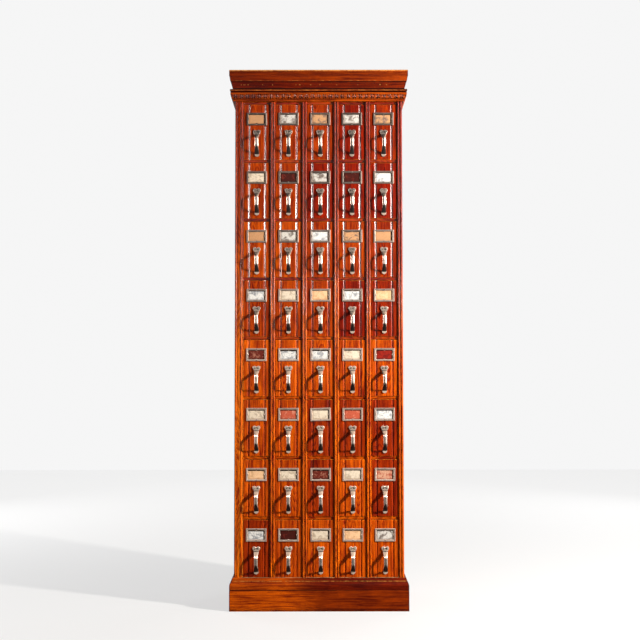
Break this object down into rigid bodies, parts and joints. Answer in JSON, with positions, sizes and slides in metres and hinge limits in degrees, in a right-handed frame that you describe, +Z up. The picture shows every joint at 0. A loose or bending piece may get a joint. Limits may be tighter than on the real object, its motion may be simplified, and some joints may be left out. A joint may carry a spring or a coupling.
{
  "type": "document file cabinet",
  "caption": "Tall antique wooden filing cabinet with narrow sliding drawers for folded papers, beaded posts, metal label frames and bail pulls, a carved cornice and a plinth.",
  "frame": {"origin": "on the floor, in the middle of the outer box, pulls and mouldings included", "axes": "+Z up, -Y towards the drawer fronts, +X to the right as seen from the front"},
  "size_m": [0.783, 0.412, 2.345],
  "materials": {
    "case_wood": "worn satin varnish",
    "drawer_wood": "worn satin varnish",
    "plain_wood": "matt",
    "box_wood": "bare, matt",
    "fittings": "worn nickel",
    "label_paper": "aged, matt"
  },
  "bodies": {
    "case": {"left_side": "case_wood", "left_liner": "case_wood", "right_side": "case_wood", "partitions": "case_wood", "shelf_boards": "case_wood", "bottom_board": "plain_wood", "back_boards": "plain_wood", "top_board": "plain_wood", "frieze_board": "case_wood", "bed_moulding": "case_wood", "astragal_moulding": "case_wood", "crown_moulding": "case_wood", "plinth": "case_wood"},
    "drawer_r1_c1": {"drawer_r1_c1": "drawer_wood"},
    "drawer_r1_c2": {"drawer_r1_c2": "drawer_wood"},
    "drawer_r1_c3": {"drawer_r1_c3": "drawer_wood"},
    "drawer_r1_c4": {"drawer_r1_c4": "drawer_wood"},
    "drawer_r1_c5": {"drawer_r1_c5": "drawer_wood"},
    "drawer_r2_c1": {"drawer_r2_c1": "drawer_wood"},
    "drawer_r2_c2": {"drawer_r2_c2": "drawer_wood"},
    "drawer_r2_c3": {"drawer_r2_c3": "drawer_wood"},
    "drawer_r2_c4": {"drawer_r2_c4": "drawer_wood"},
    "drawer_r2_c5": {"drawer_r2_c5": "drawer_wood"},
    "drawer_r3_c1": {"drawer_r3_c1": "drawer_wood"},
    "drawer_r3_c2": {"drawer_r3_c2": "drawer_wood"},
    "drawer_r3_c3": {"drawer_r3_c3": "drawer_wood"},
    "drawer_r3_c4": {"drawer_r3_c4": "drawer_wood"},
    "drawer_r3_c5": {"drawer_r3_c5": "drawer_wood"},
    "drawer_r4_c1": {"drawer_r4_c1": "drawer_wood"},
    "drawer_r4_c2": {"drawer_r4_c2": "drawer_wood"},
    "drawer_r4_c3": {"drawer_r4_c3_front": "drawer_wood", "drawer_r4_c3_sides": "box_wood", "drawer_r4_c3_back": "box_wood", "drawer_r4_c3_bottom": "box_wood", "drawer_r4_c3_label_frame": "fittings", "drawer_r4_c3_label_card": "label_paper", "drawer_r4_c3_pull": "fittings", "drawer_r4_c3_screws": "fittings"},
    "drawer_r4_c4": {"drawer_r4_c4": "drawer_wood"},
    "drawer_r4_c5": {"drawer_r4_c5": "drawer_wood"},
    "drawer_r5_c1": {"drawer_r5_c1": "drawer_wood"},
    "drawer_r5_c2": {"drawer_r5_c2": "drawer_wood"},
    "drawer_r5_c3": {"drawer_r5_c3": "drawer_wood"},
    "drawer_r5_c4": {"drawer_r5_c4": "drawer_wood"},
    "drawer_r5_c5": {"drawer_r5_c5": "drawer_wood"},
    "drawer_r6_c1": {"drawer_r6_c1": "drawer_wood"},
    "drawer_r6_c2": {"drawer_r6_c2": "drawer_wood"},
    "drawer_r6_c3": {"drawer_r6_c3": "drawer_wood"},
    "drawer_r6_c4": {"drawer_r6_c4": "drawer_wood"},
    "drawer_r6_c5": {"drawer_r6_c5": "drawer_wood"},
    "drawer_r7_c1": {"drawer_r7_c1": "drawer_wood"},
    "drawer_r7_c2": {"drawer_r7_c2": "drawer_wood"},
    "drawer_r7_c3": {"drawer_r7_c3": "drawer_wood"},
    "drawer_r7_c4": {"drawer_r7_c4": "drawer_wood"},
    "drawer_r7_c5": {"drawer_r7_c5": "drawer_wood"},
    "drawer_r8_c1": {"drawer_r8_c1": "drawer_wood"},
    "drawer_r8_c2": {"drawer_r8_c2": "drawer_wood"},
    "drawer_r8_c3": {"drawer_r8_c3": "drawer_wood"},
    "drawer_r8_c4": {"drawer_r8_c4": "drawer_wood"},
    "drawer_r8_c5": {"drawer_r8_c5": "drawer_wood"}
  },
  "joints": [
    {"name": "slide_r1_c1", "type": "slide", "parent": "case", "child": "drawer_r1_c1", "axis": [0, -1, 0], "range_m": [0, 0.3]},
    {"name": "slide_r1_c2", "type": "slide", "parent": "case", "child": "drawer_r1_c2", "axis": [0, -1, 0], "range_m": [0, 0.3]},
    {"name": "slide_r1_c3", "type": "slide", "parent": "case", "child": "drawer_r1_c3", "axis": [0, -1, 0], "range_m": [0, 0.3]},
    {"name": "slide_r1_c4", "type": "slide", "parent": "case", "child": "drawer_r1_c4", "axis": [0, -1, 0], "range_m": [0, 0.3]},
    {"name": "slide_r1_c5", "type": "slide", "parent": "case", "child": "drawer_r1_c5", "axis": [0, -1, 0], "range_m": [0, 0.3]},
    {"name": "slide_r2_c1", "type": "slide", "parent": "case", "child": "drawer_r2_c1", "axis": [0, -1, 0], "range_m": [0, 0.3]},
    {"name": "slide_r2_c2", "type": "slide", "parent": "case", "child": "drawer_r2_c2", "axis": [0, -1, 0], "range_m": [0, 0.3]},
    {"name": "slide_r2_c3", "type": "slide", "parent": "case", "child": "drawer_r2_c3", "axis": [0, -1, 0], "range_m": [0, 0.3]},
    {"name": "slide_r2_c4", "type": "slide", "parent": "case", "child": "drawer_r2_c4", "axis": [0, -1, 0], "range_m": [0, 0.3]},
    {"name": "slide_r2_c5", "type": "slide", "parent": "case", "child": "drawer_r2_c5", "axis": [0, -1, 0], "range_m": [0, 0.3]},
    {"name": "slide_r3_c1", "type": "slide", "parent": "case", "child": "drawer_r3_c1", "axis": [0, -1, 0], "range_m": [0, 0.3]},
    {"name": "slide_r3_c2", "type": "slide", "parent": "case", "child": "drawer_r3_c2", "axis": [0, -1, 0], "range_m": [0, 0.3]},
    {"name": "slide_r3_c3", "type": "slide", "parent": "case", "child": "drawer_r3_c3", "axis": [0, -1, 0], "range_m": [0, 0.3]},
    {"name": "slide_r3_c4", "type": "slide", "parent": "case", "child": "drawer_r3_c4", "axis": [0, -1, 0], "range_m": [0, 0.3]},
    {"name": "slide_r3_c5", "type": "slide", "parent": "case", "child": "drawer_r3_c5", "axis": [0, -1, 0], "range_m": [0, 0.3]},
    {"name": "slide_r4_c1", "type": "slide", "parent": "case", "child": "drawer_r4_c1", "axis": [0, -1, 0], "range_m": [0, 0.3]},
    {"name": "slide_r4_c2", "type": "slide", "parent": "case", "child": "drawer_r4_c2", "axis": [0, -1, 0], "range_m": [0, 0.3]},
    {"name": "slide_r4_c3", "type": "slide", "parent": "case", "child": "drawer_r4_c3", "axis": [0, -1, 0], "range_m": [0, 0.3]},
    {"name": "slide_r4_c4", "type": "slide", "parent": "case", "child": "drawer_r4_c4", "axis": [0, -1, 0], "range_m": [0, 0.3]},
    {"name": "slide_r4_c5", "type": "slide", "parent": "case", "child": "drawer_r4_c5", "axis": [0, -1, 0], "range_m": [0, 0.3]},
    {"name": "slide_r5_c1", "type": "slide", "parent": "case", "child": "drawer_r5_c1", "axis": [0, -1, 0], "range_m": [0, 0.3]},
    {"name": "slide_r5_c2", "type": "slide", "parent": "case", "child": "drawer_r5_c2", "axis": [0, -1, 0], "range_m": [0, 0.3]},
    {"name": "slide_r5_c3", "type": "slide", "parent": "case", "child": "drawer_r5_c3", "axis": [0, -1, 0], "range_m": [0, 0.3]},
    {"name": "slide_r5_c4", "type": "slide", "parent": "case", "child": "drawer_r5_c4", "axis": [0, -1, 0], "range_m": [0, 0.3]},
    {"name": "slide_r5_c5", "type": "slide", "parent": "case", "child": "drawer_r5_c5", "axis": [0, -1, 0], "range_m": [0, 0.3]},
    {"name": "slide_r6_c1", "type": "slide", "parent": "case", "child": "drawer_r6_c1", "axis": [0, -1, 0], "range_m": [0, 0.3]},
    {"name": "slide_r6_c2", "type": "slide", "parent": "case", "child": "drawer_r6_c2", "axis": [0, -1, 0], "range_m": [0, 0.3]},
    {"name": "slide_r6_c3", "type": "slide", "parent": "case", "child": "drawer_r6_c3", "axis": [0, -1, 0], "range_m": [0, 0.3]},
    {"name": "slide_r6_c4", "type": "slide", "parent": "case", "child": "drawer_r6_c4", "axis": [0, -1, 0], "range_m": [0, 0.3]},
    {"name": "slide_r6_c5", "type": "slide", "parent": "case", "child": "drawer_r6_c5", "axis": [0, -1, 0], "range_m": [0, 0.3]},
    {"name": "slide_r7_c1", "type": "slide", "parent": "case", "child": "drawer_r7_c1", "axis": [0, -1, 0], "range_m": [0, 0.3]},
    {"name": "slide_r7_c2", "type": "slide", "parent": "case", "child": "drawer_r7_c2", "axis": [0, -1, 0], "range_m": [0, 0.3]},
    {"name": "slide_r7_c3", "type": "slide", "parent": "case", "child": "drawer_r7_c3", "axis": [0, -1, 0], "range_m": [0, 0.3]},
    {"name": "slide_r7_c4", "type": "slide", "parent": "case", "child": "drawer_r7_c4", "axis": [0, -1, 0], "range_m": [0, 0.3]},
    {"name": "slide_r7_c5", "type": "slide", "parent": "case", "child": "drawer_r7_c5", "axis": [0, -1, 0], "range_m": [0, 0.3]},
    {"name": "slide_r8_c1", "type": "slide", "parent": "case", "child": "drawer_r8_c1", "axis": [0, -1, 0], "range_m": [0, 0.3]},
    {"name": "slide_r8_c2", "type": "slide", "parent": "case", "child": "drawer_r8_c2", "axis": [0, -1, 0], "range_m": [0, 0.3]},
    {"name": "slide_r8_c3", "type": "slide", "parent": "case", "child": "drawer_r8_c3", "axis": [0, -1, 0], "range_m": [0, 0.3]},
    {"name": "slide_r8_c4", "type": "slide", "parent": "case", "child": "drawer_r8_c4", "axis": [0, -1, 0], "range_m": [0, 0.3]},
    {"name": "slide_r8_c5", "type": "slide", "parent": "case", "child": "drawer_r8_c5", "axis": [0, -1, 0], "range_m": [0, 0.3]}
  ]
}
